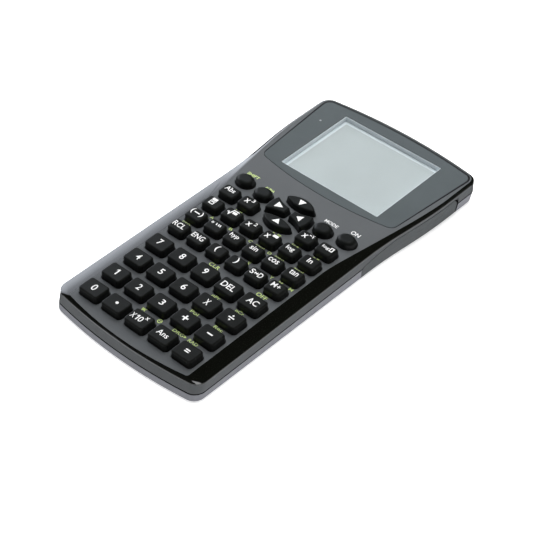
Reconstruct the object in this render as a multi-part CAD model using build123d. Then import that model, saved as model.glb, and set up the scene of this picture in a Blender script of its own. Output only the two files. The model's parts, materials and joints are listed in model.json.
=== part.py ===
from build123d import *
import math
import os

# Graphing calculator, in millimetres.
# Everything is drawn in the face frame: X across, Y from the user towards the
# display, Z out of the face, z = 0 on the flat of the face. place() then tips it
# back by TILT, so that the underside lies flat on z = 0 and the face rises
# towards the display.

# ---------------------------------------------------------------- case outline
TILT = 0.75
TRIM_MIDDLE_Z = -0.19
TRIM_EDGE_Z = -0.75
TRIM_SEAT_Z = -1.3
CREASE_Z = -6.5
FOOT_Z = -16.0

# Half width at the keypad, half width at the head, user's end and head end.
TOP_SECTION = (41.2, 44.6, -89.0, 92.2)
CREASE_SECTION = (41.2, 44.6, -90.4, 92.2)
FOOT_SECTION = (40.9, 42.7, -92.2, 91.6)
FACE_SECTION = (34.2, 43.3, -88.1, 91.3)

# Where the outline starts to flare, its two pull points, and where it ends.
CASE_FLARE = (16.0, 38.0, 46.0, 70.0)
FACE_FLARE = (-4.0, 6.0, 48.0, 68.0)
USER_END_BULGE = 3.4
HEAD_END_BULGE = 3.6
CORNERS = (5.5, 5.5)
FACE_CORNERS = (1.2, 4.5)

# ------------------------------------------------------------------- case walls
PLATE_T = 2.2
PARTING_Z = -5.5
SEAM_H = 0.5
SEAM_DEPTH = 0.5
USER_END_THICKNESS = 9.7
FLOOR_T = 1.3
FOOT_ROUND = 1.0
CAVITY_HALF_WIDTH = 39.3
CAVITY_HEAD_HALF_WIDTH = 37.5
CAVITY_STEP_Y = 9.0
CAVITY_Y = (-84.0, 87.0)
CAVITY_R = 0.8

# ------------------------------------------------------------------------ keys
GAP = 0.3
KEY_TOP_Z = 3.5
KEY_SHOULDER_Z = 0.7
KEY_DRAFT = 3.0
FLANGE_TOP_Z = -2.5
FLANGE_T = 0.8
FLANGE_W = 0.65

DIGIT_PITCH = (13.4, 12.6)
DIGIT_SIZE = (11.1, 8.65)
DIGIT_R = 1.6
DIGIT_ROUND = 0.7
DIGIT_ROW_Y = -77.25
FUNCTION_PITCH = (11.17, 10.46)
FUNCTION_SIZE = (9.3, 7.3)
FUNCTION_R = 1.8
FUNCTION_ROUND = 1.0
FUNCTION_ROW_Y = -26.55

OVAL_SIZE = (9.8, 8.0)
OVAL_TOP_Z = 3.0
OVAL_SHOULDER_Z = 0.5
OVAL_DRAFT = 14.0
OVAL_ROUND = 1.8
OVAL_PLACES = {
    "shift_key": (-29.5, 16.4),
    "alpha_key": (-17.4, 14.9),
    "mode_key": (17.4, 14.9),
    "on_key": (29.5, 16.4),
}

PAD_CENTRE = (0.1, 12.5)
PAD_R = 11.4
PAD_CAP_Y = 5.0
PAD_CAP_R = 16.6
PAD_SIDE_X = 1.0
PAD_SIDE_Y = 2.35
PAD_HOLLOW_R = 19.7
PAD_CORNER_R = 1.0
PAD_TOP_Z = 3.1
PAD_SHOULDER_Z = 0.5
PAD_DRAFT = 9.0
PAD_ROUND = 0.7
PAD_FLANGE_W = 0.3

DIGIT_ROWS = (
    ("0", "point", "exponent", "answer", "equals"),
    ("1", "2", "3", "plus", "minus"),
    ("4", "5", "6", "times", "divide"),
    ("7", "8", "9", "delete", "clear"),
)
FUNCTION_ROWS = (
    ("recall", "engineering", "open_bracket", "close_bracket", "fraction_decimal", "memory"),
    ("negative", "degrees", "hyperbolic", "sine", "cosine", "tangent"),
    ("fraction", "root", "square", "power", "log", "natural_log"),
    ("absolute", "cube", None, None, "inverse", "log_base"),
)

# --------------------------------------------------------------------- display
WINDOW_SIZE = (56.0, 45.0)
WINDOW_CENTRE_Y = 60.75
LENS_T = 1.2
LENS_GAP = 0.15
LENS_SIDE = ((38.8, 43.0), (41.9, 76.8))
LENS_END_Y = (36.6, 87.2)
LENS_CROWN_Y = (32.7, 90.4)
LENS_CORNER_R = 4.0
LCD_GLASS = (61.0, 48.0, 2.0)
LCD_TOP_Z = -2.4
LCD_BOARD_T = 0.6
LCD_BEZEL_WALL = 1.2

# ------------------------------------------------------------- keypad insides
SHEET_TOP_Z = -6.0
SHEET_T = 0.6
SHEET_HALF_WIDTH = 33.3
SHEET_Y = (-83.6, 27.0)
DOME_R = 2.6
DOME_TOP_Z = -4.85
BOARD_T = 1.2
CHIP_PLACE = (13.0, -32.0)
CHIP_W = 12.0
CHIP_T = 0.7

# --------------------------------------------------- battery cover and battery
COVER_Y = (13.2, 73.8)
COVER_T = 1.2
COVER_WING_T = 1.4
COVER_TOP_Z = -2.65
COVER_LOW_TOP_Z = -5.2
COVER_SLOPE_END_Y = 34.0
COVER_CORNER_R = 2.6
COVER_HEAD_GAP = 1.0
GRIP_SIZE = (16.0, 1.2, 0.9)
GRIP_START = 4.0
GRIP_PITCH = 2.6
GRIP_COUNT = 4
CELL_R = 10.0
CELL_T = 3.2
CELL_CAP_R = 8.4
CELL_CAP_H = 0.3
CELL_X = (-24.0, 0.0, 24.0)
CELL_Y = 50.0
WELL_R = 10.3
WELL_WALL = 1.1
WELL_TOP_Z = -6.4
WELL_CEILING_T = 0.9
CONTACT_T = 0.3

# ---------------------------------------------------------------------- screws
SCREW_PLACES = [(x, y) for y in (-79.6, -16.0, 81.0) for x in (-36.0, 36.0)]
BOSS_R = 2.5
PILOT_R = 0.8
SHANK_R = 0.95
HEAD_R = 1.9
HEAD_H = 1.2
HEAD_SINK = 0.5
CROSS_L = 2.2
CROSS_W = 0.5
CROSS_DEPTH = 0.5
SHANK_CLEARANCE = 0.15
SCREW_TIP_Z = -3.2
BOSS_ROOT_Z = -1.9

# -------------------------------------------------------------- rear case detail
BOARD_POST_X = (-30.0, 0.0, 30.0)
BOARD_POST_Y = (-70.0, -45.0, -20.0, 4.0)
BOARD_POST_R = 1.2
LABEL_SIZE = (52.0, 26.0)
LABEL_R = 2.0
LABEL_Y = -42.0
LABEL_DEPTH = 0.25

TAN_TILT = math.tan(math.radians(TILT))


def underside_z(y):
    """Height of the flat underside below the face plane, at a distance y."""
    return -(USER_END_THICKNESS + (y - TOP_SECTION[2]) * TAN_TILT)


def mirror_x(points):
    return [(-x, y) for x, y in reversed(points)]


def outline(section, flare=CASE_FLARE, inset=0.0, corners=CORNERS):
    """Closed outline with parallel sides at the keypad, flaring to a wider head, and
    two slightly bowed ends. corners are its radii at the user's end and the head."""
    low, high = section[0] - inset, section[1] - inset
    foot, top = section[2] + inset, section[3] - inset
    foot_side, top_side = foot + USER_END_BULGE, top - HEAD_END_BULGE
    sides = [(low, flare[0]), (low, flare[1]), (high, flare[2]), (high, flare[3])]
    with BuildSketch() as sketch:
        with BuildLine():
            ThreePointArc((-low, foot_side), (0, foot), (low, foot_side))
            Line((low, foot_side), sides[0])
            Bezier(*sides)
            Line(sides[3], (high, top_side))
            ThreePointArc((high, top_side), (0, top), (-high, top_side))
            Line((-high, top_side), (-high, flare[3]))
            Bezier(*mirror_x(sides))
            Line((-low, flare[0]), (-low, foot_side))
        make_face()
        for end_y, corner in zip((foot_side, top_side), corners):
            ends = sketch.vertices().filter_by(lambda v: abs(v.Y - end_y) < 0.1)
            fillet(ends, max(corner - inset, 1.0))
    return sketch.sketch


def case_walls(inset=0.0):
    """Solid bounded by the case's outer walls moved in by inset: upright down to the
    crease, then drawn in towards the underside."""
    heights = (TRIM_SEAT_Z, CREASE_Z, FOOT_Z)
    sections = (TOP_SECTION, CREASE_SECTION, FOOT_SECTION)
    rings = [Pos(0, 0, z) * outline(section, inset=inset) for z, section in zip(heights, sections)]
    return loft(rings[:2], ruled=True) + loft(rings[1:], ruled=True)


def between(sketch, low, high):
    """The sketch as a straight-sided solid from z = low to z = high."""
    return extrude(Pos(0, 0, low) * sketch, high - low)


def plane_box(lift, depth=20.0):
    """Everything below a plane that lies lift above the underside."""
    return Pos(0, 0, underside_z(0) + lift) * Rot(-TILT, 0, 0) * Pos(0, 0, -depth / 2) * Box(200, 400, depth)


def case_blank():
    """The whole case below the trim, solid, with its underside edge rounded."""
    blank = case_walls() - plane_box(0)
    under = blank.faces().sort_by(Axis.Z)[0]
    return fillet(under.edges(), FOOT_ROUND)


def cavity(low, high):
    """The room inside the two shells, narrower beside the display."""
    y0, y1 = CAVITY_Y
    wide = Pos(0, (y0 + CAVITY_STEP_Y) / 2) * Rectangle(2 * CAVITY_HALF_WIDTH, CAVITY_STEP_Y - y0)
    narrow = Pos(0, (y0 + y1) / 2) * Rectangle(2 * CAVITY_HEAD_HALF_WIDTH, y1 - y0)
    room = wide + narrow
    room = fillet(room.vertices(), CAVITY_R)
    return between(room, low, high)


# ----------------------------------------------------------------------- keys
def digit_cap(grow=0.0):
    return RectangleRounded(DIGIT_SIZE[0] + grow, DIGIT_SIZE[1] + grow, DIGIT_R + grow / 2)


def function_cap(grow=0.0):
    return RectangleRounded(FUNCTION_SIZE[0] + grow, FUNCTION_SIZE[1] + grow, FUNCTION_R + grow / 2)


def oval_cap(grow=0.0):
    return Ellipse((OVAL_SIZE[0] + grow) / 2, (OVAL_SIZE[1] + grow) / 2)


def pad_cap(side, grow=0.0):
    """One petal of the four-way pad: up and down are lens-shaped caps, left and right
    are blocks hollowed to follow them."""
    if side in ("up", "down"):
        petal = Circle(PAD_R) & Pos(0, PAD_CAP_Y + PAD_CAP_R) * Circle(PAD_CAP_R)
        turn = 0 if side == "up" else 180
    else:
        petal = Circle(PAD_R) & Pos(PAD_SIDE_X + PAD_R, 0) * Rectangle(2 * PAD_R, 2 * PAD_R)
        for away in (-1, 1):
            petal -= Pos(0, away * (PAD_SIDE_Y + PAD_HOLLOW_R)) * Circle(PAD_HOLLOW_R)
        turn = 0 if side == "right" else 180
    petal = fillet(petal.vertices(), PAD_CORNER_R)
    if grow:
        petal = offset(petal, grow / 2)
    return Rot(0, 0, turn) * petal


def drafted_key(cap, top_z, shoulder_z, draft, rounding, flange=FLANGE_W):
    """A key with straight sides up to its shoulder, then drafted to a rounded top."""
    shank = between(cap(), FLANGE_TOP_Z, shoulder_z)
    inset = (top_z - shoulder_z) * math.tan(math.radians(draft))
    low, high = Pos(0, 0, shoulder_z) * cap(), Pos(0, 0, top_z) * cap(-2 * inset)
    body = shank + loft([low, high], ruled=True)
    body = fillet(body.faces().sort_by(Axis.Z)[-1].edges(), rounding)
    return body + between(cap(2 * flange), FLANGE_TOP_Z - FLANGE_T, FLANGE_TOP_Z)


def pad_key(side):
    def cap(grow=0.0):
        return pad_cap(side, grow)

    return drafted_key(cap, PAD_TOP_Z, PAD_SHOULDER_Z, PAD_DRAFT, PAD_ROUND, PAD_FLANGE_W)


def grid(rows, pitch, first_row_y):
    """Name and centre of every key in a block of rows, from the user's end up."""
    columns = len(rows[0])
    for j, row in enumerate(rows):
        for i, name in enumerate(row):
            if name:
                yield f"key_{name}", ((i - (columns - 1) / 2) * pitch[0], first_row_y + j * pitch[1])


def build_keys():
    """Every key in its place, and the openings that they pass through."""
    digit = drafted_key(digit_cap, KEY_TOP_Z, KEY_SHOULDER_Z, KEY_DRAFT, DIGIT_ROUND)
    function = drafted_key(function_cap, KEY_TOP_Z, KEY_SHOULDER_Z, KEY_DRAFT, FUNCTION_ROUND)
    oval = drafted_key(oval_cap, OVAL_TOP_Z, OVAL_SHOULDER_Z, OVAL_DRAFT, OVAL_ROUND)
    keys, openings, centres = {}, [], []
    for name, centre in grid(DIGIT_ROWS, DIGIT_PITCH, DIGIT_ROW_Y):
        keys[name] = Pos(*centre) * digit
        openings.append(Pos(*centre) * digit_cap(2 * GAP))
        centres.append(centre)
    for name, centre in grid(FUNCTION_ROWS, FUNCTION_PITCH, FUNCTION_ROW_Y):
        keys[name] = Pos(*centre) * function
        openings.append(Pos(*centre) * function_cap(2 * GAP))
        centres.append(centre)
    for name, centre in OVAL_PLACES.items():
        keys[name] = Pos(*centre) * oval
        openings.append(Pos(*centre) * oval_cap(2 * GAP))
        centres.append(centre)
    for side in ("up", "down", "left", "right"):
        keys[f"cursor_{side}"] = Pos(*PAD_CENTRE) * pad_key(side)
        openings.append(Pos(*PAD_CENTRE) * pad_cap(side, 2 * GAP))
        middle = pad_cap(side).center()
        centres.append((PAD_CENTRE[0] + middle.X, PAD_CENTRE[1] + middle.Y))
    return keys, openings, centres


# -------------------------------------------------------------------- display
def lens_outline(grow=0.0):
    """The display window plate: widening upwards, both ends bowed outwards."""
    (low_x, low_y), (high_x, high_y) = LENS_SIDE
    slope = (high_x - low_x) / (high_y - low_y)
    foot, top = ((low_x + (y - low_y) * slope, y) for y in LENS_END_Y)
    left_foot, left_top = (-foot[0], foot[1]), (-top[0], top[1])
    with BuildSketch() as sketch:
        with BuildLine():
            ThreePointArc(left_foot, (0, LENS_CROWN_Y[0]), foot)
            Line(foot, top)
            ThreePointArc(top, (0, LENS_CROWN_Y[1]), left_top)
            Line(left_top, left_foot)
        make_face()
        fillet(sketch.vertices(), LENS_CORNER_R)
        if grow:
            offset(amount=grow, mode=Mode.REPLACE)
    return sketch.sketch


def window_box(low, high, grow=0.0):
    width, height = WINDOW_SIZE
    return between(Pos(0, WINDOW_CENTRE_Y) * Rectangle(width + grow, height + grow), low, high)


def lcd_module():
    """Glass panel in a thin metal frame on its driver board."""
    width, height, thickness = LCD_GLASS
    low = LCD_TOP_Z - thickness
    glass = between(Pos(0, WINDOW_CENTRE_Y) * Rectangle(width, height), low, LCD_TOP_Z)
    wall = 2 * LCD_BEZEL_WALL
    outer = Pos(0, WINDOW_CENTRE_Y) * Rectangle(width + wall, height + wall)
    ring = between(outer, low, LCD_TOP_Z) - glass
    board = between(outer, low - LCD_BOARD_T, low)
    return Compound([glass, ring, board])


# --------------------------------------------------------------- case shells
def cover_profile(gap=0.0, head_gap=0.0):
    """Side view of the battery cover's wing, swept right across the case."""
    y0, y1 = COVER_Y[0] - gap, COVER_Y[1] + max(gap, head_gap)
    top, low_top = COVER_TOP_Z + gap, COVER_LOW_TOP_Z + gap
    shape = Polygon(
        (y0, -20), (y1, -20), (y1, top), (COVER_SLOPE_END_Y, top), (y0, low_top), align=None
    )
    corners = shape.vertices().filter_by(lambda v: v.Y > -10)
    shape = fillet(corners, COVER_CORNER_R)
    return extrude(Plane.YZ * shape, 60, both=True)


def cover_pocket():
    """What the two shells leave free for the battery cover."""
    sides = cover_profile(GAP, COVER_HEAD_GAP) - case_walls(COVER_WING_T + GAP)
    floor = cover_profile(GAP, COVER_HEAD_GAP) & plane_box(COVER_T + GAP)
    return sides + floor


def battery_cover(blank):
    shell = blank & cover_profile()
    inside = case_walls(COVER_WING_T) - plane_box(COVER_T)
    cover = shell - inside
    for step in range(GRIP_COUNT):
        y = COVER_Y[0] + GRIP_START + step * GRIP_PITCH
        cover -= Pos(0, y, underside_z(y)) * Box(*GRIP_SIZE)
    return cover


def post(x, y, radius, low, high):
    return Pos(x, y, (low + high) / 2) * Cylinder(radius, high - low)


def wells(radius, low, high):
    return [post(x, CELL_Y, radius, low, high) for x in CELL_X]


def front_case(blank, openings, pocket):
    """The upper shell: the face with its key openings and display recess."""
    plate = between(outline(FACE_SECTION, FACE_FLARE, corners=FACE_CORNERS), TRIM_SEAT_Z, 0)
    shell = blank & Pos(0, 0, PARTING_Z + 25) * Box(200, 400, 50)
    shell += plate
    shell -= cavity(FOOT_Z, -PLATE_T)
    for x, y in SCREW_PLACES:
        shell += post(x, y, BOSS_R, PARTING_Z, BOSS_ROOT_Z)
    shell -= pocket
    for x, y in SCREW_PLACES:
        shell -= post(x, y, PILOT_R, PARTING_Z, SCREW_TIP_Z + GAP)
    shell -= between(lens_outline(LENS_GAP), -LENS_T, 0)
    shell -= window_box(-PLATE_T, 0)
    for opening in openings:
        shell -= between(opening, -PLATE_T, 0)
    return shell


def bezel_trim():
    """Glossy strip round the face, broad beside the keys and a fine line elsewhere."""
    outer, inner = outline(TOP_SECTION), outline(FACE_SECTION, FACE_FLARE, corners=FACE_CORNERS)
    section, flare, corners = (
        [(a + b) / 2 for a, b in zip(*pair)]
        for pair in ((TOP_SECTION, FACE_SECTION), (CASE_FLARE, FACE_FLARE), (CORNERS, FACE_CORNERS))
    )
    middle = outline(section, flare, corners=corners)
    crown = loft([Pos(0, 0, TRIM_EDGE_Z) * outer, Pos(0, 0, TRIM_MIDDLE_Z) * middle, inner])
    band = between(outer, TRIM_SEAT_Z, TRIM_EDGE_Z)
    return crown + band - between(inner, TRIM_SEAT_Z, 0)


def rear_case(blank, pocket):
    """The lower shell, its floor raised where the battery cover lies."""
    shell = blank & Pos(0, 0, PARTING_Z - 25) * Box(200, 400, 50)
    room = cavity(FOOT_Z, PARTING_Z) - plane_box(FLOOR_T)
    bay = Pos(0, sum(COVER_Y) / 2) * Rectangle(200, COVER_Y[1] - COVER_Y[0] + 4 * FLOOR_T)
    raised = plane_box(COVER_T + GAP + FLOOR_T) & between(bay, FOOT_Z, 0)
    shell -= room - raised
    shell -= Pos(0, 0, PARTING_Z - SEAM_H / 2) * Box(200, 400, SEAM_H) - case_walls(SEAM_DEPTH)
    shell -= pocket
    return shell


def fit_out_rear_case(shell):
    """Adds battery wells, board posts and screw holes to the rear shell."""
    floor_z = underside_z(CELL_Y) + COVER_T + GAP
    for well in wells(WELL_R + WELL_WALL, floor_z + FLOOR_T / 2, WELL_TOP_Z + WELL_CEILING_T):
        shell += well
    for well in wells(WELL_R, FOOT_Z, WELL_TOP_Z):
        shell -= well
    for x, y in SCREW_PLACES:
        low = underside_z(y)
        shell += post(x, y, BOSS_R, low + FLOOR_T / 2, PARTING_Z)
        shell -= post(x, y, SHANK_R + SHANK_CLEARANCE, FOOT_Z, PARTING_Z)
        shell -= post(x, y, HEAD_R + SHANK_CLEARANCE, FOOT_Z, low + HEAD_SINK + HEAD_H)
    board_low = SHEET_TOP_Z - SHEET_T - BOARD_T
    for y in BOARD_POST_Y:
        for x in BOARD_POST_X:
            shell += post(x, y, BOARD_POST_R, underside_z(y) + FLOOR_T / 2, board_low)
    width, height = LABEL_SIZE
    label = Pos(0, LABEL_Y) * RectangleRounded(width, height, LABEL_R)
    return shell - (between(label, FOOT_Z, 0) & plane_box(LABEL_DEPTH))


# -------------------------------------------------------------------- insides
def key_sheet(centres):
    """Silicone sheet with a low dome under each key."""
    y0, y1 = SHEET_Y
    sheet = Pos(0, (y0 + y1) / 2) * Rectangle(2 * SHEET_HALF_WIDTH, y1 - y0)
    solid = between(sheet, SHEET_TOP_Z - SHEET_T, SHEET_TOP_Z)
    height = DOME_TOP_Z - SHEET_TOP_Z
    dome = Pos(0, 0, SHEET_TOP_Z + height / 2) * Cone(DOME_R, DOME_R * 0.7, height)
    return solid + [Pos(*centre) * dome for centre in centres]


def circuit_board():
    """Main board under the key sheet, its chip, and the plates behind the cells."""
    y0, y1 = SHEET_Y
    top = SHEET_TOP_Z - SHEET_T
    board = between(Pos(0, (y0 + y1) / 2) * Rectangle(2 * SHEET_HALF_WIDTH, y1 - y0), top - BOARD_T, top)
    chip_top = top - BOARD_T
    chip = between(Pos(*CHIP_PLACE) * Rectangle(CHIP_W, CHIP_W), chip_top - CHIP_T, chip_top)
    contacts = wells(CELL_R * 0.6, WELL_TOP_Z - CONTACT_T, WELL_TOP_Z)
    return Compound([board, chip, *contacts])


def battery_cells():
    """Three coin cells, each a can with a narrower cap."""
    top = WELL_TOP_Z - CONTACT_T
    cans = wells(CELL_R, top - CELL_T, top - CELL_CAP_H)
    caps = wells(CELL_CAP_R, top - CELL_CAP_H, top)
    return Compound([can + cap for can, cap in zip(cans, caps)])


def case_screws():
    """Pan-head screws with a cross recess."""
    screws = []
    for x, y in SCREW_PLACES:
        seat = underside_z(y) + HEAD_SINK + HEAD_H
        head = post(x, y, HEAD_R, seat - HEAD_H, seat)
        shank = post(x, y, PILOT_R, seat, SCREW_TIP_Z)
        cross = Box(CROSS_L, CROSS_W, 2 * CROSS_DEPTH) + Box(CROSS_W, CROSS_L, 2 * CROSS_DEPTH)
        screws.append(head + shank - Pos(x, y, seat - HEAD_H) * cross)
    return Compound(screws)


def place(part, shift_y):
    """From the face frame to the standing frame."""
    lift = -underside_z(0) * math.cos(math.radians(TILT))
    return Pos(0, shift_y, lift) * Rot(TILT, 0, 0) * part


def build():
    blank = case_blank()
    pocket = cover_pocket()
    keys, openings, centres = build_keys()
    parts = {
        "front_case": front_case(blank, openings, pocket),
        "rear_case": fit_out_rear_case(rear_case(blank, pocket)),
        "bezel_trim": bezel_trim(),
        "display_window": between(lens_outline(), -LENS_T, 0),
        "lcd_module": lcd_module(),
        "key_sheet": key_sheet(centres),
        "circuit_board": circuit_board(),
        "battery_cells": battery_cells(),
        "battery_cover": battery_cover(blank),
        "case_screws": case_screws(),
    }
    parts.update(keys)
    return parts


def main():
    os.makedirs("parts", exist_ok=True)
    parts = build()
    case = place(parts["rear_case"], 0).bounding_box()
    shift_y = -(case.min.Y + case.max.Y) / 2
    for name, part in parts.items():
        export_step(place(part, shift_y), f"parts/{name}.step")
    print("nodes", len(parts), "shift_y", round(shift_y, 3))


main()
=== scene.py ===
import json
import math

import bmesh
import bpy
from mathutils import Matrix, Vector
from mathutils.bvhtree import BVHTree


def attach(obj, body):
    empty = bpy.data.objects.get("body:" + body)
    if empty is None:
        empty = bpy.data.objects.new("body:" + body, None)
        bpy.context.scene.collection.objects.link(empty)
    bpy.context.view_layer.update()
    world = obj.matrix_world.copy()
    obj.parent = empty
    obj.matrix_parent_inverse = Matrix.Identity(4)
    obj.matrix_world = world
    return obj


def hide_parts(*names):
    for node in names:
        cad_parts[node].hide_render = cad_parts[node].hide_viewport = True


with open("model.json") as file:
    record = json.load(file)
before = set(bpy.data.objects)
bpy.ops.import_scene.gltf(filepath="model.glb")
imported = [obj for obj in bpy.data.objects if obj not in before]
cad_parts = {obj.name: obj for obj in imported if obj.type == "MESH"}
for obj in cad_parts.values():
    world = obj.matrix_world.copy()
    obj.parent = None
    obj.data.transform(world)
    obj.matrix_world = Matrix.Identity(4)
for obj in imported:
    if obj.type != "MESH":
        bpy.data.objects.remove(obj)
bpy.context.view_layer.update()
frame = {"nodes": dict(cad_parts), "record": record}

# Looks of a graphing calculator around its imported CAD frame.
# Lengths are in millimetres in the face frame, as in part.py: X across, Y from
# the user towards the display, z = 0 on the flat of the face. TO_ROW takes a
# point of the face frame to the row frame, in metres.

MM = 0.001

# The case is a wedge: it stands on an underside tilted from the face, and
# THIN_END is its half length and its depth below the face at the user's end.
TILT = math.radians(0.75)
THIN_END_Y, THIN_END_T = 89.0, 9.7
SHIFT_Y = -0.801
LIFT = (THIN_END_T + THIN_END_Y * math.tan(TILT)) * math.cos(TILT)
TO_ROW = (
    Matrix.Scale(MM, 4)
    @ Matrix.Translation((0, SHIFT_Y, LIFT))
    @ Matrix.Rotation(TILT, 4, "X")
)
TO_FACE = TO_ROW.inverted()


# ------------------------------------------------------------------- materials
# Near-black colour painted into narrow gaps as their shade.
PAINTED_GAP_SHADE = (0.004, 0.004, 0.005)
# Patch sizes: for the lighter edge colour, partly wear and partly painted highlight, and for dust.
WEAR_AND_HIGHLIGHT_PATCH, DUST_PATCH = 1.6, 12


class Shader:
    """A Principled material whose patterns are laid out in the object's own space."""

    def __init__(self, name, rough=0.4, **values):
        self.material = bpy.data.materials.new(name)
        self.material.use_nodes = True
        self.tree = self.material.node_tree
        self.bsdf = self.tree.nodes["Principled BSDF"]
        self.coords = self.add("ShaderNodeTexCoord").outputs["Object"]
        self.rough = rough
        self.bsdf.inputs["Roughness"].default_value = rough
        for key, value in values.items():
            self.bsdf.inputs[key.replace("_", " ")].default_value = value

    def add(self, kind, settings=(), **inputs):
        """A node, with its inputs set or linked: by name, or as i0, i1 and so on by place."""
        node = self.tree.nodes.new(kind)
        for key, value in dict(settings).items():
            setattr(node, key, value)
        for key, value in inputs.items():
            numbered = key[0] == "i" and key[1:].isdigit()
            socket = node.inputs[int(key[1:]) if numbered else key.replace("_", " ")]
            if hasattr(value, "links"):
                self.tree.links.new(value, socket)
            else:
                socket.default_value = value
        return node

    def maths(self, operation, a, b=0.0, c=0.0):
        return self.add("ShaderNodeMath", {"operation": operation}, i0=a, i1=b, i2=c).outputs[0]

    def noise(self, size, detail=3.0, stretch=(1, 1, 1), spin=(0, 0, 0)):
        """Noise with features of about size millimetres."""
        placed = self.add("ShaderNodeMapping", Vector=self.coords, Scale=stretch, Rotation=spin).outputs[0]
        made = self.add("ShaderNodeTexNoise", Vector=placed, Scale=1 / (size * MM), Detail=detail)
        return made.outputs["Fac"]

    def ramp(self, value, low, high, out_low=0.0, out_high=1.0):
        made = self.add("ShaderNodeMapRange", Value=value, From_Min=low, From_Max=high)
        made.inputs["To Min"].default_value = out_low
        made.inputs["To Max"].default_value = out_high
        return made.outputs[0]

    def blend(self, share, a, b):
        made = self.add("ShaderNodeMix", {"data_type": "RGBA"}, i0=share)
        for socket, value in zip((made.inputs[6], made.inputs[7]), (a, b)):
            if hasattr(value, "links"):
                self.tree.links.new(value, socket)
            else:
                socket.default_value = (*value, 1.0)
        return made.outputs[2]

    def edges(self, radius):
        """1 on convex and concave edges tighter than radius millimetres, 0 elsewhere."""
        rounded = self.add("ShaderNodeBevel", {"samples": 4}, Radius=radius * MM).outputs[0]
        flat = self.add("ShaderNodeNewGeometry").outputs["Normal"]
        dot = self.add("ShaderNodeVectorMath", {"operation": "DOT_PRODUCT"}, i0=rounded, i1=flat)
        return self.ramp(dot.outputs["Value"], 1.0, 0.9)

    def face_axes(self):
        """Face-frame coordinates of the shaded point, in millimetres."""
        scale = (1 / MM, 1 / MM, 1 / MM)
        turn, shift = (-TILT, 0, 0), TO_FACE.to_translation()
        placed = self.add(
            "ShaderNodeMapping", Vector=self.coords, Location=shift, Rotation=turn, Scale=scale
        ).outputs[0]
        return self.add("ShaderNodeSeparateXYZ", Vector=placed).outputs

    def paint_gap_shade(self, *bands):
        """Painted shade: near-black colour in the depth of narrow gaps, bands of (axis, low, high, ceiling)
        in the face frame.
        """
        axes = self.face_axes()
        shade = self.bsdf.inputs["Base Color"].links[0].from_socket
        for axis, low, high, ceiling in bands:
            above = self.maths("GREATER_THAN", axes[axis], low)
            inside = self.maths("MULTIPLY", above, self.maths("LESS_THAN", axes[axis], high))
            inside = self.maths("MULTIPLY", inside, self.maths("LESS_THAN", axes[2], ceiling))
            shade = self.blend(inside, shade, PAINTED_GAP_SHADE)
        self.tree.links.new(shade, self.bsdf.inputs["Base Color"])
        return self

    def colour(self, base, mottle=0.04, size=9.0, edge=None):
        """Base colour with slow mottling, and a second colour in patches on edges, used by moulded as wear
        and a painted edge highlight.
        """
        darker, lighter = ([c * k for c in base] for k in (1 - mottle, 1 + mottle))
        shade = self.blend(self.ramp(self.noise(size, 4), 0.3, 0.7), darker, lighter)
        if edge:
            tint, radius, amount = edge
            patches = self.ramp(self.noise(WEAR_AND_HIGHLIGHT_PATCH), 0.35, 0.75, 0, amount)
            worn_and_highlit = self.maths("MULTIPLY", self.edges(radius), patches)
            shade = self.blend(worn_and_highlit, shade, tint)
        self.tree.links.new(shade, self.bsdf.inputs["Base Color"])
        return self

    def uneven(self, amount, size=5.0):
        """Roughness that wanders by amount, as on handled plastic."""
        value = self.ramp(self.noise(size, 5), 0.3, 0.7, self.rough - amount, self.rough + amount)
        self.tree.links.new(value, self.bsdf.inputs["Roughness"])
        return self

    def relief(self, height, depth):
        """Adds one more layer of relief, depth in millimetres."""
        made = self.add("ShaderNodeBump", Height=height, Distance=depth * MM, Strength=1.0)
        socket = self.bsdf.inputs["Normal"]
        if socket.links:
            self.tree.links.new(socket.links[0].from_socket, made.inputs["Normal"])
        self.tree.links.new(made.outputs[0], socket)
        return self

    def grain(self, size, depth):
        """Spark-eroded mould grain."""
        return self.relief(self.noise(size, 2), depth)

    def scratches(self, depth, size=0.5):
        """Hairlines that wiping leaves on a polished face, in two directions."""
        total = None
        for spin in (0.5, -0.9):
            hair = self.noise(size, 2, (1, 0.012, 1), (0, 0, spin))
            line = self.ramp(hair, 0.66, 0.74)
            total = line if total is None else self.maths("MAXIMUM", total, line)
        return self.relief(total, -depth)

    def specks(self, colour, size=1.6, spread=0.035):
        """A few specks of dust."""
        cells = self.add("ShaderNodeTexVoronoi", Vector=self.coords, Scale=1 / (size * MM))
        grains = self.ramp(cells.outputs["Distance"], spread, spread * 0.6)
        gate = self.ramp(self.noise(DUST_PATCH), 0.5, 0.62)
        speck = self.maths("MULTIPLY", grains, gate)
        under = self.bsdf.inputs["Base Color"].links[0].from_socket
        self.tree.links.new(self.blend(speck, under, colour), self.bsdf.inputs["Base Color"])
        return self


def moulded(name, base, rough, grain, depth, wear_and_highlight_gain=1.35, gaps=(), **values):
    """Satin moulded plastic, with painted shade in its narrow gaps and a lighter edge colour that is partly
    wear, partly painted highlight.
    """
    # Lighter edge colour: partly wear, partly a painted highlight on the edges.
    tint = tuple(min(1.0, c * wear_and_highlight_gain + 0.004) for c in base)
    made = Shader(name, rough, **values).colour(base, 0.035, 14.0, (tint, 0.25, 0.55))
    made.paint_gap_shade(*gaps).uneven(0.05)
    return made.grain(grain, depth).grain(grain * 5, depth * 0.7).material


def polished(name, base, rough=0.06, **values):
    """Piano-gloss plastic or a glossy printed plate."""
    made = Shader(name, rough, Coat_Weight=1.0, Coat_Roughness=0.03, **values)
    made.colour(base, 0.05, 20.0).uneven(0.02, 9.0).scratches(0.002)
    return made.specks((0.3, 0.3, 0.29)).material


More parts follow.
